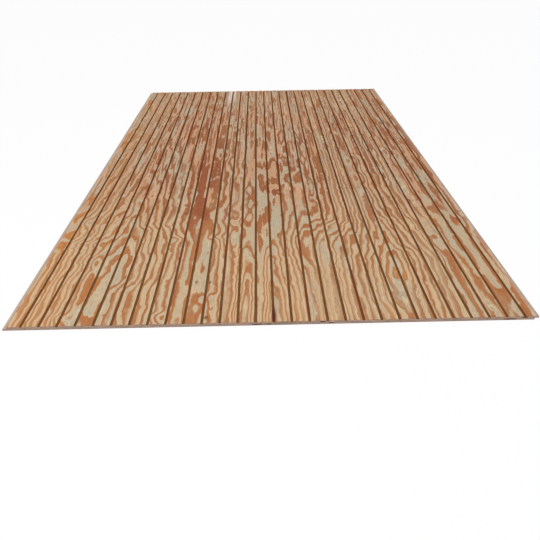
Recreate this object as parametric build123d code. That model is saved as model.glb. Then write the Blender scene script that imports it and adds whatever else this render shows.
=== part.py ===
from build123d import *
import os

# A grooved, shiplapped softwood panel, lying face up on its flat back.
# X runs across the sheet, Y along its grooves and Z up through its thickness.
# The origin is on the underside, at the middle of the overall width and length.

# Overall sizes
sheet_length = 2440.0
cover_width = 1220.0
sheet_thickness = 9.0

# Shiplap along the two long edges
lap_width = 10.0
ledge_thickness = 4.3
lap_gap = 0.2
lap_root_radius = 0.5

# Grooves milled along the face
groove_pitch = 41.3
groove_width = 6.5
groove_depth = 2.2
groove_wall_lean = 0.5
groove_floor_radius = 0.6
groove_lip_ease = 0.3
edge_strip_least = 25.0

# Small bevels that take the sharpness off the long corners
face_bevel = 0.8
back_bevel = 0.4

# The cutter reaches this far above the face, so that each groove opens cleanly.
cutter_rise = 1.0

# Places across the sheet: the face ends at the right lip, the back at the left ledge.
overall_width = cover_width + lap_width
left_side = -overall_width / 2
right_side = overall_width / 2
face_left = left_side + lap_width
back_right = right_side - lap_width
face_middle = (face_left + right_side) / 2

# The lip stays clear of the ledge of the sheet beside it.
lip_underside = ledge_thickness + lap_gap

# As many grooves as leave a whole strip along each edge of the face.
groove_count = int((cover_width - 2 * edge_strip_least) // groove_pitch) + 1


def corner(sketch, x, z):
    """The corner of the section at this place."""
    return sketch.vertices().sort_by_distance((x, z))[0]


def shiplap_outline():
    """Section without grooves: a ledge low on the left, a lip high on the right."""
    with BuildSketch() as outline:
        with BuildLine():
            Polyline(
                (left_side, 0),
                (back_right, 0),
                (back_right, lip_underside),
                (right_side, lip_underside),
                (right_side, sheet_thickness),
                (face_left, sheet_thickness),
                (face_left, ledge_thickness),
                (left_side, ledge_thickness),
                close=True,
            )
        make_face()
        fillet(
            [
                corner(outline, back_right, lip_underside),
                corner(outline, face_left, ledge_thickness),
            ],
            lap_root_radius,
        )
        chamfer(
            [
                corner(outline, face_left, sheet_thickness),
                corner(outline, right_side, sheet_thickness),
            ],
            face_bevel,
        )
        chamfer(
            [
                corner(outline, left_side, 0),
                corner(outline, left_side, ledge_thickness),
                corner(outline, back_right, 0),
                corner(outline, right_side, lip_underside),
            ],
            back_bevel,
        )
    return outline.sketch


def groove_cutter():
    """Section of one cutter, its nose rounded and its shoulders flared at the face."""
    half_floor = groove_width / 2 - groove_wall_lean
    half_mouth = groove_width / 2
    half_flare = half_mouth + groove_lip_ease
    with BuildSketch() as cutter:
        with BuildLine():
            FilletPolyline(
                (-half_flare, cutter_rise),
                (-half_flare, 0),
                (-half_mouth, -groove_lip_ease),
                (-half_floor, -groove_depth),
                (half_floor, -groove_depth),
                (half_mouth, -groove_lip_ease),
                (half_flare, 0),
                (half_flare, cutter_rise),
                radius=(0, 0, 0, groove_floor_radius, groove_floor_radius, 0, 0, 0),
                close=True,
            )
        make_face()
    return cutter.sketch


def plywood_sheet():
    """The whole sheet: its grooved, shiplapped section run along its length."""
    with BuildPart() as sheet:
        with BuildSketch(Plane.XZ) as section:
            add(shiplap_outline())
            with Locations((face_middle, sheet_thickness)):
                with GridLocations(groove_pitch, 1, groove_count, 1):
                    add(groove_cutter(), mode=Mode.SUBTRACT)
        extrude(amount=sheet_length / 2, both=True)
    return sheet.part


os.makedirs("parts", exist_ok=True)
export_step(plywood_sheet(), "parts/plywood_sheet.step")
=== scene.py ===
"""A grooved, shiplapped plywood sheet lying face up on a pale floor.

The board is milled here from a blank, as in the workshop: laps first, then the grooves, then the
plies are laid open at the sawn ends. Its finishes follow the wood, with painted light and shade
added: a rotary-cut softwood face whose figure is a contour map of the growth rings and which is
painted lighter towards its far end, grooves dark with laid-open wood and painted shade, bare laps,
laminated edges and a plain back.
"""

import math

import bmesh
import bpy
from bpy.props import FloatProperty, FloatVectorProperty, IntProperty, PointerProperty
from mathutils import Euler, Matrix, Vector


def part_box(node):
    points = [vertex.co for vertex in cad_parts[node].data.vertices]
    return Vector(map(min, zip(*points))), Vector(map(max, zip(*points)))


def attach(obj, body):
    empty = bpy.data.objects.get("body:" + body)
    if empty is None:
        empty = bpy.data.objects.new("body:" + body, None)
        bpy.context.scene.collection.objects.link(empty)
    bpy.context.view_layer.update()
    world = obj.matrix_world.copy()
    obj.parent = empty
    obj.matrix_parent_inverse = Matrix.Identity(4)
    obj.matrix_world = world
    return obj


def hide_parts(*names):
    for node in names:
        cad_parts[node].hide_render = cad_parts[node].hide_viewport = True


bl_info = {
    "name": "Grooved plywood sheet",
    "version": (1, 0, 0),
    "blender": (4, 5, 0),
    "location": "3D View > Sidebar > Plywood",
    "description": "Mills, finishes and lights a grooved plywood sheet",
    "category": "Object",
}

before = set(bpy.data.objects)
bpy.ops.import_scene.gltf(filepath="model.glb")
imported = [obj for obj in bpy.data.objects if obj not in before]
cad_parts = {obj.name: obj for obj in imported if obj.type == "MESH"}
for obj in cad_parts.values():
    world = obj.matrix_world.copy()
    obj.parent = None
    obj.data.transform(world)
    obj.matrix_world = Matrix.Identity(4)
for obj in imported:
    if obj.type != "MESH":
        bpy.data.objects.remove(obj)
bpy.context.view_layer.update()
sheet_low, sheet_high = (Vector(corner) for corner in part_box("plywood_sheet"))
MM = 0.001


def srgb(red, green, blue):
    """The linear colour that is seen as these 0 to 255 values."""
    shares = (value / 255 for value in (red, green, blue))
    return tuple(s / 12.92 if s <= 0.04045 else ((s + 0.055) / 1.055) ** 2.4 for s in shares)


def size_of(label, default, text):
    """A length in metres that a user can change."""
    return FloatProperty(name=label, description=text, default=default, unit="LENGTH", precision=4)


def angle_of(label, default, text):
    """An angle, given in degrees, that a user can change."""
    return FloatProperty(name=label, description=text, default=math.radians(default), subtype="ANGLE")


def colour_of(label, default, text):
    """A colour that a user can change."""
    return FloatVectorProperty(
        name=label, description=text, default=srgb(*default), size=3, subtype="COLOR", min=0.0, max=1.0
    )


# Growth rings of the face veneer
#
# A peeled veneer shows its growth rings as a contour map. Ridges and hollows of that map run along
# the sheet, here from the ledge side to the lip side. Each is a row of points: its place along and
# across the sheet in mm, and the ring that it reaches there. Quarter rings are pale wood and
# three-quarter rings are orange wood, so a run of them is a run of patches.

RIDGES_AND_HOLLOWS = (
    ((-1220, -700, 2.4), (-780, -690, 6.0), (-400, -690, 4.2), (0, -690, 3.4), (1220, -690, 3.2)),
    ((-1220, -650, 3.4), (-900, -640, 4.2), (-780, -594, 7.75), (-715, -588, 6.75), (-650, -590, 7.2),
     (-560, -592, 6.75), (-500, -582, 6.25), (-430, -590, 5.75), (-330, -590, 5.3), (-220, -592, 5.25),
     (-140, -588, 4.8), (-20, -588, 4.75), (80, -590, 4.25), (175, -582, 3.75), (300, -580, 3.3),
     (380, -580, 3.25), (500, -580, 2.8), (600, -580, 2.75), (760, -580, 3.25), (1000, -580, 4.25),
     (1220, -580, 5.0)),
    ((-1220, -462, 15.2), (-1110, -458, 15.75), (-1000, -460, 15.75), (-930, -458, 15.3),
     (-890, -468, 14.8), (-840, -465, 14.4), (-780, -464, 13.8), (-700, -464, 12.8),
     (-620, -466, 12.2), (-450, -470, 11.0), (-250, -476, 10.2), (0, -480, 9.0), (400, -486, 7.8),
     (800, -494, 6.9), (1220, -500, 7.6)),
    ((-1205, -415, 15.75), (-1150, -425, 16.2), (-1060, -424, 16.25), (-1000, -408, 16.75),
     (-940, -402, 16.25), (-880, -396, 16.2), (-825, -402, 15.75), (-765, -393, 15.25),
     (-695, -393, 14.75), (-630, -412, 14.25), (-545, -405, 13.75), (-450, -420, 13.7),
     (-390, -428, 13.3), (-330, -425, 13.2), (-250, -425, 12.75), (-180, -425, 12.3),
     (-90, -430, 11.8), (0, -432, 11.6), (110, -432, 11.25), (200, -435, 10.7), (400, -440, 10.2),
     (600, -444, 9.4), (800, -450, 8.75), (1000, -453, 9.3), (1220, -456, 10.0)),
    ((-1220, -218, 7.4), (-1100, -216, 7.1), (-1000, -214, 6.8), (-850, -208, 6.75),
     (-780, -206, 6.75), (-700, -222, 6.5), (-640, -226, 6.3), (-590, -222, 6.4), (-540, -222, 6.7),
     (-480, -222, 6.75), (-300, -226, 6.8), (-200, -226, 6.75), (-80, -228, 6.7), (0, -240, 6.75),
     (60, -252, 6.8), (180, -256, 6.8), (280, -258, 6.7), (340, -258, 6.35), (420, -256, 6.4),
     (500, -256, 6.75), (580, -255, 6.8), (650, -252, 6.7), (740, -250, 6.3), (860, -255, 6.6),
     (1000, -258, 6.2), (1220, -262, 6.0)),
    ((-1220, -198, 6.5), (-1050, -200, 6.3), (-850, -196, 6.35), (-780, -195, 6.5), (-700, -200, 6.4),
     (-640, -200, 6.5), (-560, -206, 6.75), (-480, -203, 6.6), (-300, -205, 6.5), (-150, -208, 6.45),
     (-50, -210, 6.4), (60, -215, 6.3), (300, -215, 6.25), (400, -216, 6.3), (520, -222, 6.4),
     (600, -225, 6.3), (720, -228, 6.25), (900, -230, 6.4), (1220, -230, 6.1)),
    ((-1215, -168, 6.9), (-1190, -172, 6.75), (-1150, -185, 6.3), (-1105, -190, 6.7),
     (-1060, -172, 6.2), (-900, -166, 6.15), (-760, -170, 6.2), (-745, -188, 6.5), (-705, -177, 6.45),
     (-660, -176, 6.7), (-560, -188, 6.75), (-500, -184, 6.3), (-420, -182, 6.25), (-370, -180, 6.3),
     (-290, -168, 6.7), (-215, -175, 6.3), (-110, -180, 6.8), (-30, -180, 6.75), (50, -173, 6.25),
     (110, -176, 6.4), (165, -182, 6.75), (240, -182, 6.7), (310, -180, 6.35), (380, -173, 6.7),
     (450, -180, 6.4), (560, -195, 6.75), (700, -212, 6.25), (820, -205, 6.75), (900, -200, 6.5),
     (1220, -196, 6.0)),
    ((-1220, -102, 9.6), (-1000, -100, 9.6), (-870, -98, 9.8), (-800, -98, 10.1), (-740, -98, 10.25),
     (-690, -97, 9.75), (-630, -100, 10.2), (-575, -95, 9.75), (-520, -98, 10.2), (-440, -96, 9.75),
     (-360, -97, 9.7), (-300, -97, 9.9), (-230, -98, 10.25), (-170, -93, 9.75), (-60, -93, 10.25),
     (60, -96, 9.8), (200, -92, 10.1), (400, -92, 10.2), (500, -108, 9.9), (570, -112, 9.75),
     (700, -100, 10.4), (1220, -92, 10.6)),
    ((-1220, -66, 14.3), (-1150, -64, 14.2), (-1050, -58, 13.75), (-930, -58, 12.9), (-845, -62, 12.2),
     (-785, -62, 11.75), (-735, -60, 11.2), (-690, -60, 11.2), (-650, -62, 11.7), (-600, -60, 12.2),
     (-540, -57, 11.75), (-480, -58, 12.2), (-410, -60, 11.8), (-350, -60, 12.2), (-290, -60, 11.6),
     (-200, -58, 11.3), (-100, -58, 11.1), (0, -58, 11.0), (300, -58, 11.4), (500, -58, 11.8),
     (900, -58, 12.5), (1220, -58, 13.0)),
    ((-1220, -26, 11.2), (-1000, -24, 11.2), (-900, -24, 11.2), (-850, -24, 11.1), (-785, -22, 10.9),
     (-700, -18, 10.9), (-600, -10, 10.7), (-470, -10, 10.75), (-400, -14, 11.1), (-320, -8, 10.7),
     (-240, -10, 10.9), (-150, -8, 11.2), (-50, -25, 10.7), (50, -15, 10.2), (200, -20, 10.0),
     (500, -20, 9.8), (1220, -20, 9.5)),
    ((-1210, 8, 14.75), (-1150, 8, 14.3), (-1090, 6, 14.2), (-970, 5, 13.3), (-900, 2, 13.2),
     (-850, 6, 12.5), (-785, 14, 11.75), (-730, 22, 11.3), (-560, 28, 11.2), (-420, 27, 11.25),
     (-372, 35, 10.75), (-320, 33, 11.2), (-270, 30, 10.75), (-200, 30, 11.2), (-150, 32, 11.15),
     (-65, 40, 10.75), (10, 27, 10.3), (200, 24, 10.3), (300, 22, 10.7), (360, 26, 10.7),
     (450, 50, 10.3), (680, 62, 10.25), (820, 60, 10.6), (1080, 60, 10.75), (1220, 60, 10.4)),
    ((-1220, 105, 8.0), (-1000, 105, 7.6), (-850, 106, 6.6), (-780, 108, 6.4), (-720, 112, 6.9),
     (-675, 117, 7.75), (-615, 112, 8.25), (-575, 115, 8.75), (-520, 112, 9.2), (-330, 110, 9.2),
     (-260, 108, 8.8), (-200, 112, 8.75), (-140, 118, 9.2), (-80, 105, 8.75), (-30, 108, 8.8),
     (30, 112, 9.2), (200, 113, 9.2), (270, 110, 8.75), (340, 110, 8.7), (420, 112, 9.1),
     (520, 98, 8.75), (620, 105, 8.3), (700, 110, 8.6), (900, 110, 8.3), (1220, 110, 8.0)),
    ((-1220, 165, 3.5), (-1020, 165, 3.5), (-900, 160, 4.0), (-820, 155, 4.7), (-740, 150, 5.7),
     (-660, 150, 7.0), (-600, 155, 8.2), (-545, 160, 8.75), (-500, 160, 9.15), (-440, 142, 8.75),
     (-390, 150, 9.1), (-330, 152, 9.25), (-280, 152, 9.1), (-220, 147, 8.75), (-150, 150, 8.9),
     (-90, 148, 9.2), (-20, 150, 8.75), (50, 152, 9.0), (150, 154, 9.25), (240, 152, 8.75),
     (320, 152, 8.8), (400, 150, 9.2), (500, 148, 9.2), (600, 150, 8.8), (750, 150, 8.4),
     (1220, 150, 8.0)),
    ((-1220, 205, 1.0), (-1020, 205, 0.7), (-920, 203, 1.2), (-840, 198, 2.0), (-760, 190, 3.0),
     (-680, 190, 4.7), (-620, 192, 6.3), (-540, 190, 6.75), (-400, 188, 6.75), (-200, 196, 6.75),
     (0, 197, 6.5), (200, 190, 6.5), (500, 190, 6.0), (1220, 190, 5.5)),
    ((-1210, 325, -4.3), (-1120, 320, -4.75), (-1060, 325, -4.85), (-1000, 328, -5.25),
     (-905, 338, -4.75), (-862, 345, -4.3), (-830, 338, -3.8), (-790, 340, -3.25), (-735, 338, -3.1),
     (-690, 338, -2.75), (-645, 332, -2.6), (-600, 325, -2.25), (-430, 325, -2.15), (-330, 318, -1.75),
     (-250, 322, -2.2), (-150, 316, -1.75), (-50, 316, -2.25), (60, 312, -1.75), (200, 320, -1.5),
     (400, 335, -1.4), (450, 338, -1.25), (640, 350, -1.2), (720, 345, -0.9), (900, 340, -0.7),
     (1220, 340, -0.6)),
    ((-1220, 480, 3.6), (-1100, 482, 3.4), (-1000, 490, 3.75), (-900, 492, 3.75), (-830, 485, 4.1),
     (-765, 484, 4.3), (-700, 472, 4.7), (-560, 466, 4.75), (-470, 463, 4.75), (-400, 465, 5.2),
     (-300, 475, 5.4), (-200, 480, 5.3), (-100, 488, 5.6), (-40, 486, 5.75), (50, 488, 5.3),
     (130, 484, 5.75), (180, 485, 5.75), (250, 478, 5.3), (300, 475, 5.75), (340, 470, 5.6),
     (400, 465, 5.25), (500, 465, 5.2), (560, 466, 5.3), (700, 468, 5.6), (900, 468, 6.0),
     (1220, 468, 6.2)),
    ((-1220, 522, 5.2), (-1000, 522, 5.7), (-800, 520, 6.0), (-700, 522, 6.2), (-620, 525, 6.3),
     (-555, 525, 6.75), (-500, 525, 6.5), (-450, 525, 6.25), (-390, 525, 6.4), (-250, 520, 6.6),
     (-150, 520, 6.3), (20, 525, 6.3), (95, 532, 6.75), (180, 525, 6.3), (300, 520, 6.5),
     (1220, 520, 6.6)),
    ((-1215, 552, 6.6), (-1170, 552, 6.75), (-1110, 560, 6.85), (-1070, 562, 7.2), (-740, 565, 7.25),
     (-680, 570, 7.6), (-650, 572, 7.7), (-600, 565, 7.35), (-540, 562, 7.7), (-400, 565, 7.75),
     (-350, 560, 7.6), (-280, 560, 7.3), (-150, 560, 7.25), (0, 558, 7.3), (100, 552, 7.6),
     (200, 552, 7.3), (300, 560, 7.25), (380, 552, 7.5), (450, 546, 7.75), (520, 548, 7.5),
     (600, 550, 7.3), (700, 550, 7.4), (1000, 552, 7.2), (1220, 552, 7.2)),
    ((-1220, 645, 4.5), (-900, 645, 4.2), (-500, 645, 5.2), (0, 645, 5.6), (1220, 645, 5.6)),
)

# The limits that hold all the places and rings above, how wide a crest is flat, in mm and at most as
# a share of the way to the next, and from how many rings a metre the figure is loose or tight.

RING_RANGE = (-8.0, 18.0)
LENGTH_RANGE = (-1240, 1240)
WIDTH_RANGE = (-720, 720)
CREST_FLAT = 16
CREST_SHARE = 0.45
LOOSE_TO_TIGHT = (0.02 / MM, 0.08 / MM)

# Patches of the face. Each is a place across and along the sheet, a half width and a half length, all
# in mm, and how strong it is. First come small whorls, where the rings swell or dip beside a limb by
# so many rings, and then the places where the rings waver most.

SWELLS = (
    (-556, -612, 22, 26, 1.0), (-262, -752, 16, 20, 1.0), (-262, -1192, 20, 20, -1.2),
    (-494, -1185, 20, 20, 1.0), (484, -770, 16, 20, -0.7), (95, -60, 18, 60, 0.6),
    (78, 115, 18, 90, 1.0), (-470, -895, 12, 22, 0.7), (-545, -1000, 12, 120, 0.4),
)

RESTLESS_PATCHES = (
    (-500, -790, 90, 110, 1.3), (-555, -640, 60, 70, 0.4), (180, -660, 75, 130, 0.2),
    (-262, -760, 30, 50, 1.0), (-262, -1190, 40, 40, 1.2), (484, -770, 40, 50, 1.0),
    (190, -950, 25, 70, 1.0), (-330, 800, 160, 200, 0.8),
)

# How the rings waver: grain size of the noise in mm, seed, detail, and the shift in mm or in rings.

SIDEWAYS_SWAY = (
    ((220, 400, 100), 1, 0.0, 3.0),
    ((110, 110, 100), 2, 1.0, 3.6),
    ((120, 34, 100), 9, 1.0, 2.4),
)
RING_RIPPLES = (
    ((16, 160, 100), 16, 0.0, 0.16),
    ((24, 60, 100), 4, 1.0, 0.10),
    ((7, 30, 100), 5, 1.0, 0.08),
)

# More patches: where the orange wood runs redder, where it runs yellower, the strip that is worn pale
# at the far end, where the rings hardly show, and dark spots.

REDDER_PATCHES = (
    (-225, -470, 32, 240, 1.0), (-190, -570, 30, 60, 0.8), (-230, -160, 34, 170, 1.0),
    (-185, -110, 26, 130, 0.9), (-100, -360, 26, 70, 1.0), (35, -375, 16, 36, 0.9),
    (42, -70, 18, 50, 1.0), (105, -60, 24, 60, 1.0), (-185, 170, 24, 80, 0.8),
    (-255, 540, 30, 150, 1.0), (-115, 560, 26, 120, 0.9), (350, 570, 28, 150, 1.0),
    (545, 450, 26, 70, 0.8), (465, -560, 16, 120, 0.7), (485, -40, 20, 70, 0.8),
    (155, 230, 24, 80, 0.8), (415, 520, 12, 160, 0.6),
)
AMBER_PATCHES = (
    (331, -978, 24, 55, 0.9), (358, -998, 12, 45, 0.7), (63, -1156, 16, 50, 0.8),
    (266, -1178, 12, 45, 0.8), (283, -1190, 8, 30, 0.7),
)
WORN_PATCHES = (
    (-171, 1190, 11, 200, 1.0), (-178, 1000, 8, 120, 0.5), (-149, 1150, 7, 130, 0.7),
)
QUIET_PATCHES = (
    (130, -1120, 75, 150, 0.9), (250, -1130, 60, 130, 0.3), (330, -1110, 40, 65, 0.8),
    (439, -960, 20, 220, 0.7), (195, -900, 22, 90, 0.5), (-98, -440, 18, 150, 0.8),
    (90, -480, 34, 90, 0.55), (290, -460, 36, 120, 0.5), (315, -150, 22, 220, 0.5),
    (-305, -130, 20, 260, 0.6), (-511, 300, 20, 900, 0.6), (-57, -60, 20, 110, 0.5),
    (-535, 960, 30, 240, 0.4),
)
DARK_SPOTS = (
    (-187, -1020, 3.5, 9, 0.8), (-153, -1022, 3, 9, 0.8), (-152, -1196, 5, 8, 0.9),
    (6, -1190, 5, 34, 1.2),
)

# Stretches over which the face changes, in metres from its middle: across it at the pale strip along
# the ledge's rim, at the lip's rim and bevel and towards the yellower side, and along it at both ends.

LEDGE_RIM = (-0.597, -0.603)
LIP_RIM = (0.600, 0.604)
LIP_BEVEL = (0.606, 0.611)
AMBER_SIDE = (-0.40, -0.57)
FROM_NEAR_END = (-0.8, -0.3)
TO_FAR_END = (0.4, 1.0)

# Gaps in the cross plies that show as dark slots in the near end, pockets that take the finish of the
# grooves with its painted shade: place across the sheet, ply counted from the back, and width, in mm.
# Then how far the cross plies lie back at both ends, how high and how ragged a gap is, as shares of
# its ply, and how many ragged shapes there are.

CORE_GAPS = ((-34, 1, 26), (-6, 1, 11), (118, 3, 17), (136, 1, 12), (548, 1, 30), (583, 3, 14))
CROSS_PLY_SETBACK = 0.25 * MM
GAP_HEIGHT = 0.9
GAP_RAGGED = 0.12
GAP_SEEDS = 97

# How far each seed moves a pattern, in grains, and how widely noise is spread about 0.

SEED_STEP = (7.3, 3.1, 5.7)
RING_SEED_STEP = 11.7
NOISE_SPREAD = 5.0

# Plain white light, what lays a place flat on the face, the tint of the painted shade that darkens the
# grooves further along the sheet, how much the raised grain shows, and how little the wood shines.

WHITE = (1.0, 1.0, 1.0, 1.0)
FLAT = (1.0, 1.0, 0.0)
GROOVE_SHADE_TINT = (0.92, 0.80, 0.55)
GRAIN_SHOWS = 0.7
WOOD_SHINE = 0.1

# Milling: steps in a bevel, the share of the sheet at each end that holds only the end's own faces,
# the play allowed when a face is told by its height, and the angle below which an edge is smooth.

BEVEL_STEPS = 3
END_SHARE = 0.2
PLAY = 0.05 * MM
SMOOTH_BELOW = math.radians(35)

# Rows of the layout for baked colour: where each starts and how high it is, and the margin beside it.

BAKE_ROWS = {
    "top": (0.005, 0.60), "back": (0.615, 0.215),
    "x-": (0.84, 0.033), "x+": (0.88, 0.033),
    "y-": (0.92, 0.033), "y+": (0.96, 0.033),
}
BAKE_MARGIN = 0.003

# Stage: sizes in metres, and how much of the floor its plain white covers.

FLOOR_SIZE = 60.0
FLOOR_GAP = 0.1 * MM
FLOOR_WHITE = 0.93
LAMP_PLACE = (-0.6, -2.0, 2.6)
LAMP_SIZE = 2.4
FRAME_WIDTH_MM = 36.0
NEAREST_SEEN = 0.01


class PLY_PG_board(bpy.types.PropertyGroup):
    """Sizes of the milled board."""

    groove_count: IntProperty(name="Grooves", description="Number of grooves", default=29, min=1)
    groove_pitch: size_of("Groove spacing", 41.3 * MM, "From one groove to the next")
    groove_width: size_of("Groove width", 6.5 * MM, "Across the mouth of a groove")
    groove_depth: size_of("Groove depth", 2.2 * MM, "From the face to the groove's floor")
    groove_lean: size_of("Wall lean", 0.5 * MM, "How far each groove wall leans in")
    lap_width: size_of("Lap width", 10.0 * MM, "Width of the ledge and of the lip")
    ledge_thickness: size_of("Ledge thickness", 4.3 * MM, "From the back to the top of the ledge")
    lip_underside: size_of("Lip underside", 4.5 * MM, "From the back to the underside of the lip")
    arris: size_of("Arris", 0.8 * MM, "Bevel along the face's two long edges")
    plies: IntProperty(name="Plies", description="Veneers in the board", default=5, min=3)


class PLY_PG_finish(bpy.types.PropertyGroup):
    """Colours of the wood."""

    earlywood: colour_of("Earlywood", (195, 171, 138), "Pale soft wood between the rings")
    earlywood_grey: colour_of("Grey earlywood", (186, 169, 142), "Earlywood where it runs greyer")
    earlywood_tan: colour_of("Tan earlywood", (202, 155, 119), "Earlywood of the far two thirds")
    earlywood_tight: colour_of("Tight earlywood", (205, 171, 132), "Earlywood between close rings")
    latewood: colour_of("Latewood", (172, 111, 67), "Hard orange wood of the rings")
    latewood_red: colour_of("Red latewood", (158, 90, 54), "Latewood where it runs redder")
    latewood_tight: colour_of("Tight latewood", (168, 115, 75), "Latewood of close rings")
    latewood_amber: colour_of("Amber latewood", (190, 126, 68), "Latewood towards the ledge side")
    worn: colour_of("Worn", (226, 212, 200), "Strip of the face that is worn pale")
    stain: colour_of("Stain", (96, 34, 20), "Dark spots of resin and bark")
    # The colours of the grooves are dark wood laid open by the cutter and painted shade in one.
    groove_wood_and_shade: colour_of("Groove", (116, 76, 38), "Dark wood laid open by the cutter")
    red_groove_wood_and_shade: colour_of("Red groove", (118, 62, 32), "Groove where it crosses red wood")
    bare_ply: colour_of("Bare ply", (188, 166, 148), "Freshly milled inner ply on the laps")
    long_grain: colour_of("Edge long grain", (211, 186, 168), "Ply seen along its grain at an edge")
    end_grain: colour_of("Edge end grain", (167, 146, 134), "Ply seen end on at an edge")
    glue_line: colour_of("Glue line", (74, 52, 42), "Glue between two plies")
    back: colour_of("Back", (206, 174, 136), "Back veneer")
    back_ring: colour_of("Back ring", (182, 138, 98), "Growth rings of the back veneer")


class PLY_PG_view(bpy.types.PropertyGroup):
    """Camera and light."""

    place: FloatVectorProperty(
        name="Camera place", description="Where the camera stands", default=(-0.0169, -2.5384, 0.8135),
        size=3, subtype="XYZ", unit="LENGTH",
    )
    tilt_down: angle_of("Tilt", 27.0, "How far the camera looks down")
    turn: angle_of("Turn", -0.65, "How far it turns to the left")
    roll: angle_of("Roll", -0.88, "How far it leans to the left")
    lens: FloatProperty(
        name="Lens", description="Focal length on a 36 mm frame", default=44.9, min=1.0, unit="CAMERA"
    )
    sky: FloatProperty(
        name="Sky", description="Strength of the even light from all round", default=0.68, min=0.0
    )
    lamp: FloatProperty(
        name="Lamp", description="Power of the soft lamp in front", default=40.0, min=0.0, unit="POWER"
    )
    floor: colour_of("Floor", (244, 243, 240), "Plain floor under the sheet")


# Node helpers


def share_of(value, limits):
    """How far a value has come from the lower to the upper limit, from 0 to 1."""
    low, high = limits
    return (value - low) / (high - low)


def opaque(colour):
    """A plain colour with its alpha; a socket passes through."""
    return colour if isinstance(colour, bpy.types.NodeSocket) else (*tuple(colour)[:3], 1.0)


class Recipe:
    """Adds nodes to one node tree and wires them together."""

    def __init__(self, tree):
        self.tree = tree

    def feed_all(self, node, values):
        """Feeds a node's sockets by name."""
        for name, value in values.items():
            self.feed(node.inputs[name], value)

    def feed(self, socket, value):
        """Links a node's output to this socket, or sets a plain value on it."""
        if isinstance(value, bpy.types.NodeSocket):
            self.tree.links.new(value, socket)
        elif value is not None:
            socket.default_value = value

    def add(self, kind, *values, **settings):
        """A node of this kind with its settings and, in order, its inputs."""
        node = self.tree.nodes.new(kind)
        for name, setting in settings.items():
            setattr(node, name, setting)
        for socket, value in zip(node.inputs, values):
            self.feed(socket, value)
        return node

    def math(self, operation, *values):
        """One step of arithmetic."""
        return self.add("ShaderNodeMath", *values, operation=operation).outputs[0]

    def times(self, first, second):
        """One value times another."""
        return self.math("MULTIPLY", first, second)

    def line(self, value, slope, start):
        """A straight line: the value times the slope, from the start."""
        return self.math("MULTIPLY_ADD", value, slope, start)

    def scaled(self, vector, factors):
        """The vector with each axis multiplied by its own factor."""
        return self.add("ShaderNodeVectorMath", vector, factors, operation="MULTIPLY").outputs[0]

    def place(self):
        """Where a point lies on its piece, in metres."""
        return self.add("ShaderNodeTexCoord").outputs["Object"]

    def axes(self, vector):
        """The vector's three parts."""
        return self.add("ShaderNodeSeparateXYZ", vector).outputs

    def noise(self, vector, size, seed, detail=1.0):
        """Soft noise about 0, mostly within -1 and 1, with grains of this size in mm."""
        grains = self.scaled(vector, tuple(1 / (length * MM) for length in size))
        shift = tuple(step * seed for step in SEED_STEP)
        moved = self.add("ShaderNodeVectorMath", grains, shift, operation="ADD").outputs[0]
        return self.about_zero(self.add("ShaderNodeTexNoise", moved, normalize=True), detail)

    def by_ring(self, ring, size, seed):
        """Soft noise about 0 that is the same all along a growth ring."""
        node = self.add("ShaderNodeTexNoise", noise_dimensions="1D", normalize=True)
        self.feed(node.inputs["W"], self.line(ring, 1 / size, RING_SEED_STEP * seed))
        return self.about_zero(node, 0.0)

    def about_zero(self, node, detail):
        """A noise node's value, spread evenly about 0."""
        node.inputs["Scale"].default_value = 1.0
        node.inputs["Detail"].default_value = detail
        return self.line(node.outputs[0], NOISE_SPREAD, -NOISE_SPREAD / 2)

    def between(self, value, low, high, to_low=0.0, to_high=1.0):
        """A smooth step: to_low where the value is at low, to_high where it is at high."""
        steps = {"interpolation_type": "SMOOTHSTEP", "clamp": False}
        return self.add("ShaderNodeMapRange", value, low, high, to_low, to_high, **steps).outputs[0]

    def crest(self, along, stops):
        """A ridge or hollow of the rings: its place across the sheet and its ring, all along it."""
        ramp = self.add("ShaderNodeValToRGB", along)
        ramp.color_ramp.interpolation = "EASE"
        elements = ramp.color_ramp.elements
        elements.remove(elements[-1])
        for number, (place, across, ring) in enumerate(stops):
            spot = share_of(place, LENGTH_RANGE)
            element = elements[0] if number == 0 else elements.new(spot)
            element.position = spot
            element.color = (share_of(across, WIDTH_RANGE), share_of(ring, RING_RANGE), 0.0, 1.0)
        across, ring, _ = self.add("ShaderNodeSeparateColor", ramp.outputs[0]).outputs
        left, right = WIDTH_RANGE
        low, high = RING_RANGE
        across = self.line(across, (right - left) * MM, left * MM)
        return across, self.line(ring, high - low, low)

    def mix(self, share, first, second):
        """Two values mixed by a share."""
        node = self.add("ShaderNodeMix", share, data_type="FLOAT")
        self.feed(node.inputs[2], first)
        self.feed(node.inputs[3], second)
        return node.outputs[0]

    def blend(self, share, first, second, how="MIX"):
        """Two colours mixed by a share from 0 to 1."""
        node = self.add("ShaderNodeMix", data_type="RGBA", blend_type=how, clamp_factor=True)
        self.feed(node.inputs[0], share)
        self.feed(node.inputs[6], opaque(first))
        self.feed(node.inputs[7], opaque(second))
        return node.outputs[2]

    def shade(self, colour, amount):
        """The colour made lighter or darker by a share of itself."""
        gain = self.math("ADD", amount, 1.0)
        if not isinstance(colour, bpy.types.NodeSocket):
            colour = tuple(colour)
        return self.scaled(colour, gain)

    def vary(self, colour, pattern, strength):
        """The colour made lighter and darker by a pattern about 0."""
        return self.shade(colour, self.times(pattern, strength))


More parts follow.
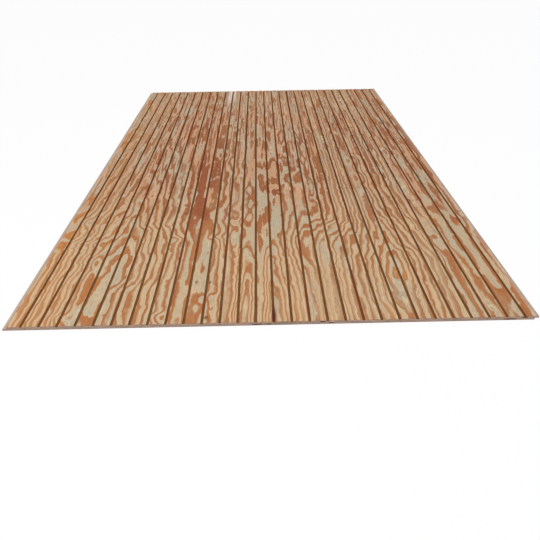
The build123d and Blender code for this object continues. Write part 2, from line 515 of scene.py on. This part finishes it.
def swell_group():
    """One swell of the growth rings: highest in its middle and dying away all round."""
    tree = bpy.data.node_groups.new("ring_swell", "ShaderNodeTree")
    for name in ("Place", "Middle", "Spread"):
        tree.interface.new_socket(name, in_out="INPUT", socket_type="NodeSocketVector")
    tree.interface.new_socket("Rings", in_out="INPUT", socket_type="NodeSocketFloat")
    tree.interface.new_socket("Rise", in_out="OUTPUT", socket_type="NodeSocketFloat")
    r = Recipe(tree)
    given = r.add("NodeGroupInput").outputs
    offset = r.add("ShaderNodeVectorMath", given["Place"], given["Middle"], operation="SUBTRACT")
    reach = r.scaled(offset.outputs[0], given["Spread"])
    square = r.add("ShaderNodeVectorMath", reach, reach, operation="DOT_PRODUCT").outputs["Value"]
    fall = r.math("POWER", math.e, r.times(square, -1.0))
    r.add("NodeGroupOutput", r.times(fall, given["Rings"]))
    return tree


def patches(r, place, spots):
    """How strongly these patches show at a place."""
    swell = bpy.data.node_groups.get("ring_swell") or swell_group()
    total = 0.0
    for at, along, half_width, half_length, strength in spots:
        middle = (at * MM, along * MM, 0.0)
        spread = (1 / (half_width * MM), 1 / (half_length * MM), 0.0)
        node = r.add("ShaderNodeGroup", node_tree=swell)
        r.feed_all(node, {"Place": place, "Middle": middle, "Spread": spread, "Rings": strength})
        total = r.math("ADD", total, node.outputs["Rise"])
    return total


def between_crests(r, x, edge, at):
    """How far x is from one crest to the next, evenly and with flat crests, and the distance."""
    width = r.math("SUBTRACT", at, edge)
    flat = r.math("MINIMUM", r.math("DIVIDE", CREST_FLAT * MM, width), CREST_SHARE)
    span = r.math("SUBTRACT", 1.0, flat)
    even = r.add("ShaderNodeMapRange", x, edge, at, clamp=False).outputs[0]
    share = r.math("DIVIDE", r.line(flat, -0.5, even), span)
    bend = r.math("DIVIDE", flat, span)
    share = r.math("SMOOTH_MAX", share, 0.0, bend)
    share = r.math("SMOOTH_MIN", share, 1.0, bend)
    return even, share, width


def ring_group():
    """The number of growth rings crossed at each place of the face veneer, and how tight they are."""
    tree = bpy.data.node_groups.new("face_rings", "ShaderNodeTree")
    tree.interface.new_socket("Place", in_out="INPUT", socket_type="NodeSocketVector")
    tree.interface.new_socket("Ring", in_out="OUTPUT", socket_type="NodeSocketFloat")
    tree.interface.new_socket("Tight", in_out="OUTPUT", socket_type="NodeSocketFloat")
    r = Recipe(tree)
    place = r.scaled(r.add("NodeGroupInput").outputs["Place"], FLAT)
    x, y, _ = r.axes(place)
    unrest = r.math("ADD", patches(r, place, RESTLESS_PATCHES), 0.6)
    for size, seed, detail, shift in SIDEWAYS_SWAY:
        sway = r.times(r.noise(place, size, seed, detail), unrest)
        x = r.line(sway, shift * MM, x)
    start, end = LENGTH_RANGE
    along = r.line(y, 1 / ((end - start) * MM), -start / (end - start))

    edge, rings = r.crest(along, RIDGES_AND_HOLLOWS[0])
    tight = 0.0
    for stops in RIDGES_AND_HOLLOWS[1:]:
        at, ring = r.crest(along, stops)
        even, share, width = between_crests(r, x, edge, at)
        mixed = r.mix(share, rings, ring)
        slope = r.math("DIVIDE", r.math("ABSOLUTE", r.math("SUBTRACT", ring, rings)), width)
        midway = r.times(even, r.math("SUBTRACT", 1.0, even))
        steep = r.times(r.between(midway, 0.0, 0.2), r.between(slope, *LOOSE_TO_TIGHT))
        tight = r.math("MAXIMUM", tight, steep)
        rings = mixed
        edge = at

    rings = r.math("ADD", rings, patches(r, place, SWELLS))

    for size, seed, detail, amount in RING_RIPPLES:
        rings = r.line(r.noise(place, size, seed, detail), amount, rings)
    straight = r.times(r.noise(place, (13, 700, 100), 14), r.between(y, -0.75, 0.90, 0.05, 0.8))
    r.add("NodeGroupOutput", r.math("ADD", rings, straight), tight)
    return tree


def new_recipe(name):
    """An empty material and the recipe that fills it."""
    material = bpy.data.materials.new(name)
    material.use_nodes = True
    material.node_tree.nodes.clear()
    return material, Recipe(material.node_tree)


def wood_surface(r, colour, height, relief, roughness=0.7):
    """Ends a wood finish: a dull surface with its colour and a raised grain of this relief in mm."""
    bump = r.add("ShaderNodeBump")
    r.feed_all(bump, {"Strength": GRAIN_SHOWS, "Distance": relief * MM, "Height": height})
    shader = r.add("ShaderNodeBsdfPrincipled")
    r.feed_all(shader, {"Base Color": colour, "Roughness": roughness, "Normal": bump.outputs[0]})
    shader.inputs["Specular IOR Level"].default_value = WOOD_SHINE
    r.add("ShaderNodeOutputMaterial", shader.outputs[0])


def face_material(wood):
    """Rotary-cut face veneer: pale earlywood and orange latewood between contour lines."""
    material, r = new_recipe("face_veneer")
    place = r.place()
    x, y, _ = r.axes(place)
    rings = r.add("ShaderNodeGroup", node_tree=ring_group())
    r.feed(rings.inputs[0], place)
    tight = rings.outputs["Tight"]
    ring = rings.outputs["Ring"]

    # Through each ring the orange wood comes in slowly and ends at once.
    part = r.math("FRACT", ring)
    away = r.times(r.between(y, *FROM_NEAR_END), r.between(y, *TO_FAR_END, 1.0, 0.5))
    start = r.line(away, -0.05, r.line(tight, -0.08, 0.42))
    start = r.line(r.by_ring(ring, 1.3, 1), 0.12, start)
    rise = r.between(part, start, r.math("ADD", start, 0.28))
    fall = r.between(part, 0.93, 1.0, 1.0, 0.0)
    faint = r.times(r.between(r.by_ring(ring, 0.9, 2), 0.1, 1.1), r.times(tight, 0.25))
    late = r.times(r.times(rise, fall), r.math("SUBTRACT", 1.0, faint))
    flat_place = r.scaled(place, FLAT)
    quiet = r.math("MINIMUM", patches(r, flat_place, QUIET_PATCHES), 1.0)
    late = r.times(late, r.line(quiet, -0.65, 1.0))

    # Both woods change colour over the sheet.
    grey = r.line(r.by_ring(ring, 0.2, 4), away, r.noise(place, (50, 300, 100), 6))
    grey = r.between(grey, -0.5, 0.8)
    red = r.line(r.noise(place, (70, 300, 100), 7, 1.0), 0.3, r.times(away, 0.35))
    red = r.math("ADD", red, patches(r, flat_place, REDDER_PATCHES))
    amber = r.times(r.between(x, *AMBER_SIDE), r.line(tight, -0.6, 1.0))
    amber = r.math("ADD", amber, patches(r, flat_place, AMBER_PATCHES))
    early_colour = r.blend(away, wood.earlywood, wood.earlywood_tan)
    early_colour = r.blend(grey, early_colour, wood.earlywood_grey)
    bright = r.times(tight, r.line(away, -0.6, 1.0))
    early_colour = r.blend(bright, early_colour, wood.earlywood_tight)
    late_colour = r.blend(red, wood.latewood, wood.latewood_red)
    late_colour = r.blend(tight, late_colour, wood.latewood_tight)
    late_colour = r.blend(amber, late_colour, wood.latewood_amber)
    late_colour = r.vary(late_colour, away, r.between(y, 0.1, 0.9, -0.14, -0.02))
    colour = r.blend(late, early_colour, late_colour)
    colour = r.vary(colour, quiet, -0.06)

    # Wear, spots and rims lie over the figure, and the grain over all.
    colour = r.blend(patches(r, flat_place, WORN_PATCHES), colour, wood.worn)
    colour = r.blend(patches(r, flat_place, DARK_SPOTS), colour, wood.stain)
    # Pale strips along the rim of the ledge side, paler towards the far end, and along the lip's rim,
    # and a greyer band over the lip's bevel.
    rim_paleness = r.between(y, -0.8, 0.1, 0.12, 0.45)
    colour = r.blend(r.between(x, *LEDGE_RIM, 0.0, rim_paleness), colour, wood.worn)
    colour = r.blend(r.between(x, *LIP_RIM, 0.0, 0.2), colour, wood.worn)
    colour = r.blend(r.between(x, *LIP_BEVEL, 0.0, 0.7), colour, wood.end_grain)
    streaks = r.noise(place, (1.6, 60, 100), 8, 2.0)
    colour = r.vary(colour, streaks, 0.08)
    lines = r.line(quiet, 0.07, r.between(y, -0.8, -0.2, 0.08, 0.13))
    colour = r.vary(colour, r.by_ring(ring, 0.14, 3), lines)
    colour = r.vary(colour, r.noise(place, (5, 26, 100), 10, 1.0), 0.05)
    ripple = r.noise(place, (13, 60, 100), 15, 1.0)
    colour = r.vary(colour, ripple, r.between(y, -0.3, 0.6, 0.0, 0.09))
    # Painted light: the whole face made a little lighter towards the far end.
    colour = r.shade(colour, r.between(y, -0.2, 1.2, 0.0, 0.08))
    wood_surface(r, colour, r.line(streaks, 0.2, late), 0.2)
    return material


def groove_wood_and_shade_material(wood):
    """Groove walls and floors, where the cutter went through the face veneer: dark laid-open wood and
    painted shade in one colour, with more painted shade further along the sheet.
    """
    material, r = new_recipe("groove_wood_and_shade")
    place = r.place()
    y = r.axes(place)["Y"]
    red = r.between(r.noise(place, (30, 240, 100), 11, 1.0), r.between(y, -0.9, -0.2, 0.0, -1.2), 1.2)
    # Painted shade: this colour holds the shade of the walls and floors as well as the dark wood.
    colour = r.blend(red, wood.groove_wood_and_shade, wood.red_groove_wood_and_shade)
    # Painted shade: darker and richer from the near end towards the middle, and so on to the far end.
    colour = r.blend(r.between(y, -0.7, 0.0), colour, GROOVE_SHADE_TINT, "MULTIPLY")
    fibres = r.noise(place, (2.5, 14, 100), 12, 2.0)
    colour = r.vary(colour, fibres, 0.12)
    colour = r.vary(colour, r.noise(place, (40, 120, 100), 13), 0.10)
    # More painted shade: darker still beyond the near end.
    colour = r.shade(colour, r.between(y, -0.9, -0.2, 0.0, -0.1))
    colour = r.blend(patches(r, r.scaled(place, FLAT), DARK_SPOTS), colour, wood.stain)
    wood_surface(r, colour, fibres, 0.3, 0.75)
    return material


def lap_material(wood):
    """The ledge and the lip's underside: an inner ply freshly cut along its grain."""
    material, r = new_recipe("lap")
    place = r.place()
    lines = r.noise(place, (2.2, 160, 100), 21, 2.0)
    bands = r.noise(place, (9, 420, 100), 22, 1.0)
    colour = r.vary(wood.bare_ply, lines, 0.07)
    colour = r.blend(r.between(bands, 0.0, 1.4), colour, wood.long_grain)
    wood_surface(r, colour, lines, 0.15, 0.7)
    return material


def sawn_material(name, along_axis, board, wood):
    """A sawn edge: each ply along its grain or end on, with a dark glue line between them."""
    material, r = new_recipe(name)
    place = r.place()
    x, y, z = r.axes(place)
    along = x if along_axis == "X" else y
    spot = r.add("ShaderNodeCombineXYZ", along, 0.0, z).outputs[0]
    ply = r.math("DIVIDE", z, ply_thickness(board))
    end_on = r.math("MODULO", r.math("FLOOR", ply), 2.0)
    if along_axis == "X":
        end_on = r.math("SUBTRACT", 1.0, end_on)

    fibres = r.noise(spot, (26, 1, 0.35), 31, 2.0)
    long_colour = r.vary(wood.long_grain, fibres, 0.16)
    pores = r.noise(spot, (0.9, 1, 0.5), 32, 2.0)
    drift = r.times(r.noise(spot, (45, 1, 30), 33), 0.8)
    ring = r.math("FRACT", r.math("ADD", r.math("DIVIDE", z, 1.3 * MM), drift))
    end_colour = r.blend(r.between(ring, 0.5, 0.9), wood.end_grain, wood.latewood_red)
    end_colour = r.vary(end_colour, pores, 0.22)
    colour = r.blend(end_on, long_colour, end_colour)

    to_joint = r.math("PINGPONG", ply, 0.5)
    ragged = r.line(r.noise(spot, (5, 1, 2), 34, 1.0), 0.03, to_joint)
    above_first = r.math("GREATER_THAN", ply, 0.5)
    inside = r.times(above_first, r.math("LESS_THAN", ply, board.plies - 0.5))
    joint = r.times(r.between(ragged, 0.04, 0.10, 1.0, 0.0), inside)
    colour = r.blend(joint, colour, wood.glue_line)
    stain = r.between(r.noise(spot, (120, 1, 40), 35, 1.0), 0.2, 1.6)
    colour = r.vary(colour, stain, -0.25)
    # Darker spots here and there along the edge.
    dark_fleck = r.between(r.noise(spot, (9, 1, 3), 36, 1.0), 0.7, 1.5)
    colour = r.vary(colour, dark_fleck, -0.5)
    wood_surface(r, colour, r.math("ADD", fibres, pores), 0.25, 0.8)
    return material


def back_material(wood):
    """The plain back veneer: broad quiet rings and fine streaks."""
    material, r = new_recipe("back_veneer")
    place = r.place()
    x = r.axes(place)["X"]
    rings = r.times(r.noise(place, (420, 1500, 100), 41), 5.0)
    rings = r.line(r.noise(place, (60, 300, 100), 42, 1.0), 0.5, rings)
    rings = r.line(x, 14.0, rings)
    part = r.math("FRACT", rings)
    late = r.times(r.between(part, 0.5, 0.85), r.between(part, 0.93, 1.0, 1.0, 0.0))
    colour = r.blend(late, wood.back, wood.back_ring)
    streaks = r.noise(place, (1.8, 110, 100), 43, 2.0)
    colour = r.vary(colour, streaks, 0.06)
    colour = r.vary(colour, r.noise(place, (300, 500, 100), 44, 1.0), 0.05)
    wood_surface(r, colour, r.line(late, 0.5, streaks), 0.2, 0.7)
    return material


# Milling
#
# The board is one closed mesh. Faces are chosen by their middle and their normal, and every step is
# a cut or a push that a joiner would know.


def ply_thickness(board):
    """How thick each veneer is."""
    return (sheet_high.z - sheet_low.z) / board.plies


def pick(piece):
    """Makes this the only selected object and the active one."""
    bpy.ops.object.select_all(action="DESELECT")
    bpy.context.view_layer.objects.active = piece
    piece.select_set(True)


def start_mesh(name, low, high):
    """A box between two corners, open in edit mode with nothing else selected."""
    bpy.ops.object.select_all(action="DESELECT")
    low = Vector(low)
    high = Vector(high)
    bpy.ops.mesh.primitive_cube_add(size=1.0, location=(low + high) / 2, scale=high - low)
    piece = bpy.context.object
    piece.name = name
    piece.data.name = name
    bpy.ops.object.transform_apply(location=True, rotation=True, scale=True)
    bpy.ops.object.mode_set(mode="EDIT")
    bpy.ops.mesh.select_mode(type="FACE")
    return piece


def choose(piece, test):
    """Selects only the faces whose middle and normal pass the test."""
    mesh = bmesh.from_edit_mesh(piece.data)
    bpy.ops.mesh.select_all(action="DESELECT")
    for face in mesh.faces:
        face.select_set(test(face.calc_center_median(), face.normal))
    bmesh.update_edit_mesh(piece.data)


def cut_through(place, direction):
    """Cuts all faces where they cross a plane."""
    bpy.ops.mesh.select_all(action="SELECT")
    bpy.ops.mesh.bisect(plane_co=place, plane_no=direction)


def pull(x=0.0, y=0.0, z=0.0):
    """Extrudes the chosen faces by this much."""
    bpy.ops.mesh.extrude_region_move(TRANSFORM_OT_translate={"value": (x, y, z)})


def bevel_long_edges(piece, width, test):
    """Bevels the edges that run the whole length, where a corner of theirs passes the test."""
    bpy.ops.mesh.select_mode(type="EDGE")
    bpy.ops.mesh.select_all(action="DESELECT")
    mesh = bmesh.from_edit_mesh(piece.data)
    for edge in mesh.edges:
        first, second = (corner.co for corner in edge.verts)
        edge.select_set(abs(first.y - second.y) > sheet_high.y and test(first))
    bmesh.update_edit_mesh(piece.data)
    bpy.ops.mesh.bevel(offset=width, segments=BEVEL_STEPS, affect="EDGES")


def carve(piece, tool):
    """Takes the tool's shape out of the piece and clears the tool away."""
    pick(piece)
    bpy.ops.object.modifier_add(type="BOOLEAN")
    cut = piece.modifiers[-1]
    cut.operation = "DIFFERENCE"
    cut.solver = "EXACT"
    cut.object = tool
    bpy.ops.object.modifier_apply(modifier=cut.name)
    bpy.data.objects.remove(tool)


def lapped_blank(board):
    """The laminated blank with its ledge and lip drawn out of its long edges."""
    lap = board.lap_width
    low = (sheet_low.x + lap, sheet_low.y, sheet_low.z)
    high = (sheet_high.x - lap, sheet_high.y, sheet_high.z)
    blank = start_mesh("grooved_board", low, high)
    ledge_top = sheet_low.z + board.ledge_thickness
    lip_bottom = sheet_low.z + board.lip_underside
    cut_through((0.0, 0.0, ledge_top), (0.0, 0.0, 1.0))
    choose(blank, lambda middle, normal: normal.x < -0.5 and middle.z < ledge_top)
    pull(x=-lap)
    cut_through((0.0, 0.0, lip_bottom), (0.0, 0.0, 1.0))
    choose(blank, lambda middle, normal: normal.x > 0.5 and middle.z > lip_bottom)
    pull(x=lap)

    def at_face_edge(corner):
        to_side = min(abs(corner.x - low[0]), abs(corner.x - sheet_high.x))
        return to_side < board.arris / 2 and corner.z > high[2] - board.arris / 2

    bevel_long_edges(blank, board.arris, at_face_edge)
    bpy.ops.object.mode_set(mode="OBJECT")
    return blank


def groove_cutters(board):
    """One cutter with leaning walls and a rounded nose, repeated across the face."""
    middle = (sheet_low.x + board.lap_width + sheet_high.x) / 2
    first = middle - (board.groove_count - 1) * board.groove_pitch / 2
    half = board.groove_width / 2
    spare = board.lap_width
    cutter = start_mesh(
        "groove_cutter",
        (first - half, sheet_low.y - spare, sheet_high.z - board.groove_depth),
        (first + half, sheet_high.y + spare, sheet_high.z),
    )
    choose(cutter, lambda place, normal: normal.z < -0.5)
    floor_share = 1 - board.groove_lean / half
    bpy.ops.transform.resize(value=(floor_share, 1.0, 1.0), center_override=(first, 0.0, 0.0))
    half_depth = sheet_high.z - board.groove_depth / 2
    bevel_long_edges(cutter, board.groove_lean, lambda corner: corner.z < half_depth)
    bpy.ops.mesh.select_mode(type="FACE")
    choose(cutter, lambda place, normal: normal.z > 0.5)
    pull(z=board.groove_depth)
    bpy.ops.object.mode_set(mode="OBJECT")
    bpy.ops.object.modifier_add(type="ARRAY")
    row = cutter.modifiers[-1]
    row.count = board.groove_count
    row.use_relative_offset = False
    row.use_constant_offset = True
    row.constant_offset_displace = (board.groove_pitch, 0.0, 0.0)
    bpy.ops.object.modifier_apply(modifier=row.name)
    return cutter


def end_slot(board, end, ply):
    """A shallow slot across a sawn end, where a cross ply has shrunk back behind its neighbours."""
    thickness = ply_thickness(board)
    spare = board.lap_width
    face_of_end = sheet_high.y if end > 0 else sheet_low.y
    near = face_of_end - end * CROSS_PLY_SETBACK
    far = face_of_end + end * spare
    low = (sheet_low.x - spare, min(near, far), sheet_low.z + ply * thickness)
    high = (sheet_high.x + spare, max(near, far), low[2] + thickness)
    slot = start_mesh("end_slot", low, high)
    bpy.ops.object.mode_set(mode="OBJECT")
    return slot


def core_gap(board, at, ply, width):
    """A rounded pocket where a cross ply's veneers don't quite meet."""
    thickness = ply_thickness(board)
    middle = (at * MM, sheet_low.y, sheet_low.z + (ply + 0.5) * thickness)
    bpy.ops.object.select_all(action="DESELECT")
    bpy.ops.mesh.primitive_ico_sphere_add(subdivisions=3, radius=0.5, location=middle)
    pocket = bpy.context.object
    pocket.scale = (width * MM, 2 * width * MM, GAP_HEIGHT * thickness)
    bpy.ops.object.transform_apply(location=True, rotation=True, scale=True)
    bpy.ops.object.mode_set(mode="EDIT")
    bpy.ops.mesh.select_all(action="SELECT")
    bpy.ops.transform.vertex_random(offset=GAP_RAGGED * thickness, seed=at % GAP_SEEDS)
    bpy.ops.object.mode_set(mode="OBJECT")
    return pocket


def at_an_end(middle):
    """Whether a face belongs to a sawn end; all others run the whole length."""
    return sheet_high.y - abs(middle.y) < END_SHARE * sheet_high.y


def part_of(middle, normal, board):
    """Which finish a face of the board takes."""
    if at_an_end(middle):
        set_back = sheet_high.y - abs(middle.y)
        # Pockets deeper than the set-back plies take the finish of the grooves, dark wood with painted
        # shade.
        return "sawn_end" if set_back < 2 * CROSS_PLY_SETBACK else "groove_wood_and_shade"
    if normal.z < -0.7:
        return "back" if middle.z < sheet_low.z + MM else "lap"
    if middle.x < sheet_low.x + board.lap_width:
        return "lap" if normal.z > 0.7 and middle.z < sheet_high.z - 2 * MM else "sawn_side"
    if middle.z > sheet_high.z - PLAY:
        return "face"
    in_groove = middle.z > sheet_high.z - board.groove_depth - 2 * PLAY
    if in_groove and abs(middle.x) < sheet_high.x - board.lap_width:
        return "groove_wood_and_shade"
    return "sawn_side"


def unfold(piece):
    """A flat layout for baked colour: top, back and the four sawn edges, one above another."""
    layout = piece.data.uv_layers.new(name="OFBake")
    size = sheet_high - sheet_low
    for face in piece.data.polygons:
        row = row_of(face)
        start, height = BAKE_ROWS[row]
        for loop in face.loop_indices:
            spot = piece.data.vertices[piece.data.loops[loop].vertex_index].co - sheet_low
            share = Vector((spot.x / size.x, spot.y / size.y, spot.z / size.z))
            u = share.y if row[0] == "x" else share.x
            v = share.y if row in ("top", "back") else share.z
            layout.data[loop].uv = (BAKE_MARGIN + (1 - 2 * BAKE_MARGIN) * u, start + height * v)


def row_of(face):
    """The row of the flat layout that a face goes into: the side that it is best seen from."""
    if at_an_end(face.center):
        return "y+" if face.center.y > 0 else "y-"
    if abs(face.normal.x) > 0.99:
        return "x+" if face.center.x > 0 else "x-"
    return "top" if face.normal.z > 0 else "back"


# Stage


def stand_camera(view):
    """A camera at the photograph's angle."""
    heading = Euler((math.pi / 2 - view.tilt_down, 0.0, view.turn)).to_matrix()
    lean = Matrix.Rotation(view.roll, 3, "Z")
    bpy.ops.object.camera_add(location=view.place, rotation=(heading @ lean).to_euler())
    camera = bpy.context.object
    camera.name = "camera"
    camera.data.lens = view.lens
    camera.data.sensor_width = FRAME_WIDTH_MM
    camera.data.clip_start = NEAREST_SEEN
    bpy.context.scene.camera = camera


def white_for_the_eye(r, surface, strength):
    """A plain white seen directly, in gloss or through glass, mixed over the lit surface."""
    path = r.add("ShaderNodeLightPath").outputs
    seen = r.math("MAXIMUM", path["Is Camera Ray"], path["Is Glossy Ray"])
    seen = r.math("MAXIMUM", seen, path["Is Transmission Ray"])
    white = r.add("ShaderNodeEmission", WHITE, 1.0).outputs[0]
    mix = r.add("ShaderNodeMixShader", r.times(seen, strength))
    r.feed(mix.inputs[1], surface)
    r.feed(mix.inputs[2], white)
    return mix.outputs[0]


def lay_floor(view):
    """A plain pale floor, a hair below the back, that still takes the sheet's soft shadow."""
    bpy.ops.mesh.primitive_plane_add(size=FLOOR_SIZE, location=(0.0, 0.0, sheet_low.z - FLOOR_GAP))
    floor = bpy.context.object
    floor.name = "floor"
    material, r = new_recipe("floor")
    plain = r.add("ShaderNodeBsdfDiffuse", opaque(view.floor)).outputs[0]
    r.add("ShaderNodeOutputMaterial", white_for_the_eye(r, plain, FLOOR_WHITE))
    floor.data.materials.append(material)


def light_up(view):
    """Even sky light and one broad soft lamp, together about as strong as a colour is written."""
    world = bpy.data.worlds.new("sky")
    bpy.context.scene.world = world
    world.use_nodes = True
    world.node_tree.nodes.clear()
    r = Recipe(world.node_tree)
    sky = r.add("ShaderNodeBackground", WHITE, view.sky).outputs[0]
    r.add("ShaderNodeOutputWorld", white_for_the_eye(r, sky, 1.0))
    bpy.ops.object.light_add(type="AREA", location=LAMP_PLACE)
    lamp = bpy.context.object
    lamp.name = "soft_lamp"
    lamp.data.shape = "DISK"
    lamp.data.size = LAMP_SIZE
    lamp.data.energy = view.lamp
    lamp.rotation_euler = Vector(lamp.location).to_track_quat("Z", "Y").to_euler()


class PLY_OT_mill_board(bpy.types.Operator):
    """Mill the laps, the grooves and the sawn ends"""

    bl_idname = "plywood.mill_board"
    bl_label = "Mill the board"

    def execute(self, context):
        board = context.scene.plywood_board
        piece = lapped_blank(board)
        for end in (-1, 1):
            for ply in range(1, board.plies, 2):
                carve(piece, end_slot(board, end, ply))
        carve(piece, groove_cutters(board))
        for at, ply, width in CORE_GAPS:
            carve(piece, core_gap(board, at, ply, width))
        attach(piece, "root")
        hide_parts("plywood_sheet")
        return {"FINISHED"}


class PLY_OT_finish_board(bpy.types.Operator):
    """Give each part of the board its wood finish"""

    bl_idname = "plywood.finish_board"
    bl_label = "Finish the board"

    def execute(self, context):
        board = context.scene.plywood_board
        wood = context.scene.plywood_finish
        piece = bpy.data.objects["grooved_board"]
        finishes = {
            "face": face_material(wood),
            "groove_wood_and_shade": groove_wood_and_shade_material(wood),
            "lap": lap_material(wood),
            "sawn_end": sawn_material("sawn_end", "X", board, wood),
            "sawn_side": sawn_material("sawn_side", "Y", board, wood),
            "back": back_material(wood),
        }
        for finish in finishes.values():
            piece.data.materials.append(finish)
        unfold(piece)
        order = list(finishes)
        for face in piece.data.polygons:
            face.material_index = order.index(part_of(face.center, face.normal, board))
        pick(piece)
        bpy.ops.object.shade_smooth_by_angle(angle=SMOOTH_BELOW)
        return {"FINISHED"}


class PLY_OT_set_stage(bpy.types.Operator):
    """Lay the floor, set the lights and stand the camera"""

    bl_idname = "plywood.set_stage"
    bl_label = "Set the stage"

    def execute(self, context):
        view = context.scene.plywood_view
        lay_floor(view)
        light_up(view)
        stand_camera(view)
        context.scene.view_settings.view_transform = "Standard"
        return {"FINISHED"}


class PLY_PT_panel(bpy.types.Panel):
    """Sizes, colours and steps of the plywood sheet"""

    bl_idname = "PLY_PT_panel"
    bl_label = "Plywood sheet"
    bl_space_type = "VIEW_3D"
    bl_region_type = "UI"
    bl_category = "Plywood"

    def draw(self, context):
        scene = context.scene
        for group in (scene.plywood_board, scene.plywood_finish, scene.plywood_view):
            column = self.layout.column()
            for name in group.__annotations__:
                column.prop(group, name)
        for operator in OPERATORS:
            self.layout.operator(operator.bl_idname)


GROUPS = {
    "plywood_board": PLY_PG_board,
    "plywood_finish": PLY_PG_finish,
    "plywood_view": PLY_PG_view,
}
OPERATORS = (PLY_OT_mill_board, PLY_OT_finish_board, PLY_OT_set_stage)


def register():
    """Makes the sizes, the steps and the panel known to Blender."""
    for name, group in GROUPS.items():
        bpy.utils.register_class(group)
        setattr(bpy.types.Scene, name, PointerProperty(type=group))
    for operator in OPERATORS:
        bpy.utils.register_class(operator)
    bpy.utils.register_class(PLY_PT_panel)


def unregister():
    """Takes them away again, last first."""
    bpy.utils.unregister_class(PLY_PT_panel)
    for operator in reversed(OPERATORS):
        bpy.utils.unregister_class(operator)
    for name, group in reversed(GROUPS.items()):
        delattr(bpy.types.Scene, name)
        bpy.utils.unregister_class(group)


def main():
    """Builds the scene step by step."""
    register()
    bpy.ops.plywood.mill_board()
    bpy.ops.plywood.finish_board()
    bpy.ops.plywood.set_stage()


if __name__ == "__main__":
    main()
